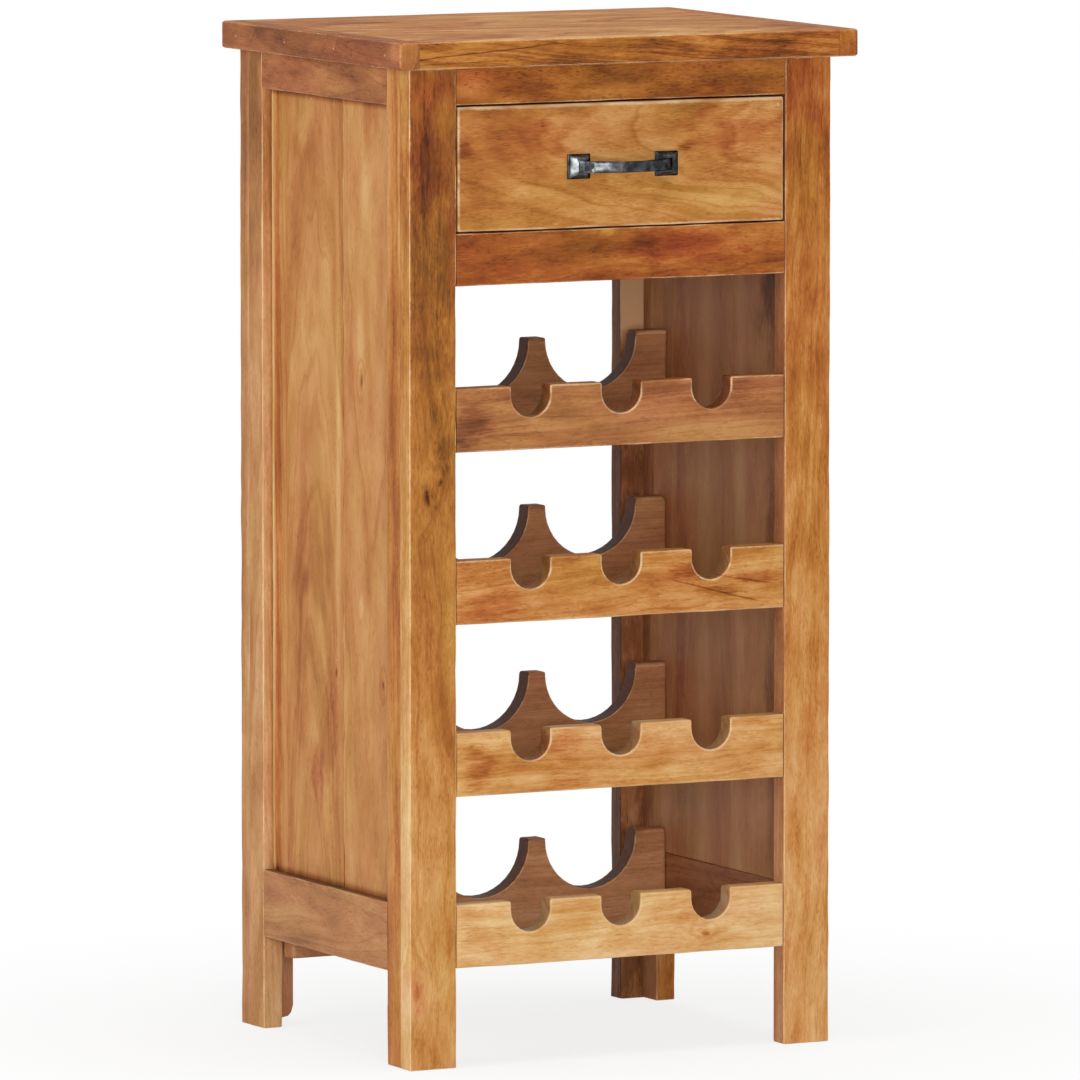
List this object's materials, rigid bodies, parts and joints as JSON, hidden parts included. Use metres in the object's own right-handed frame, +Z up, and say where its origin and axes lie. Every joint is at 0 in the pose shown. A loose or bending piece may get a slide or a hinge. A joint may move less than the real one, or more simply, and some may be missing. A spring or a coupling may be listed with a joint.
{
  "type": "wine cabinet",
  "caption": "Small solid wood wine cabinet: a drawer with an iron bow pull over an open rack of notched front rails and scalloped rear cradles that hold lying bottles.",
  "frame": {"origin": "on the floor under the middle of the outline, the pull included", "axes": "+Z up, -Y out of the drawer front, +X to the viewer's right when facing the front"},
  "size_m": [0.4, 0.3286, 0.8],
  "materials": {
    "honey_wood": "satin lacquer",
    "amber_wood": "satin lacquer",
    "russet_wood": "satin lacquer",
    "inner_wood": "thinly oiled",
    "black_iron": "blackened",
    "zinc_steel": "zinc plated"
  },
  "bodies": {
    "carcass": {"bottle_cradle_1": "inner_wood", "bottle_cradle_2": "inner_wood", "bottle_cradle_3": "inner_wood", "bottle_cradle_4": "inner_wood", "drawer_guide_left": "inner_wood", "drawer_guide_right": "inner_wood", "drawer_kicker_left": "inner_wood", "drawer_kicker_right": "inner_wood", "drawer_rail": "russet_wood", "drawer_runner_left": "inner_wood", "drawer_runner_right": "inner_wood", "front_top_rail": "amber_wood", "guide_screw_1": "zinc_steel", "guide_screw_2": "zinc_steel", "guide_screw_3": "zinc_steel", "guide_screw_4": "zinc_steel", "leg_back_left_face": "honey_wood", "leg_back_left_side": "honey_wood", "leg_back_right_face": "honey_wood", "leg_back_right_side": "honey_wood", "leg_front_left_face": "honey_wood", "leg_front_left_side": "honey_wood", "leg_front_right_face": "honey_wood", "leg_front_right_side": "honey_wood", "neck_rail_1": "honey_wood", "neck_rail_2": "honey_wood", "neck_rail_3": "honey_wood", "neck_rail_4": "honey_wood", "rear_drawer_rail": "amber_wood", "rear_panel": "inner_wood", "rear_top_rail": "amber_wood", "side_bottom_rail_left": "russet_wood", "side_bottom_rail_right": "russet_wood", "side_plank_left_back": "amber_wood", "side_plank_left_front": "amber_wood", "side_plank_left_middle": "amber_wood", "side_plank_right_back": "amber_wood", "side_plank_right_front": "amber_wood", "side_plank_right_middle": "amber_wood", "side_top_rail_left": "russet_wood", "side_top_rail_right": "russet_wood", "top_end_batten_left": "russet_wood", "top_end_batten_right": "russet_wood", "top_plank_back": "honey_wood", "top_plank_front": "honey_wood", "top_plank_middle": "honey_wood", "top_screw_1": "zinc_steel", "top_screw_2": "zinc_steel", "top_screw_3": "zinc_steel", "top_screw_4": "zinc_steel"},
    "drawer": {"drawer_back": "inner_wood", "drawer_bottom": "inner_wood", "drawer_front": "honey_wood", "drawer_side_left": "inner_wood", "drawer_side_right": "inner_wood", "pull_bow": "black_iron", "pull_plate_left": "black_iron", "pull_plate_right": "black_iron", "pull_screw_1": "zinc_steel", "pull_screw_2": "zinc_steel"}
  },
  "joints": [
    {"name": "drawer_slide", "type": "slide", "parent": "carcass", "child": "drawer", "axis": [0, -1, 0], "range_m": [0, 0.19]}
  ]
}
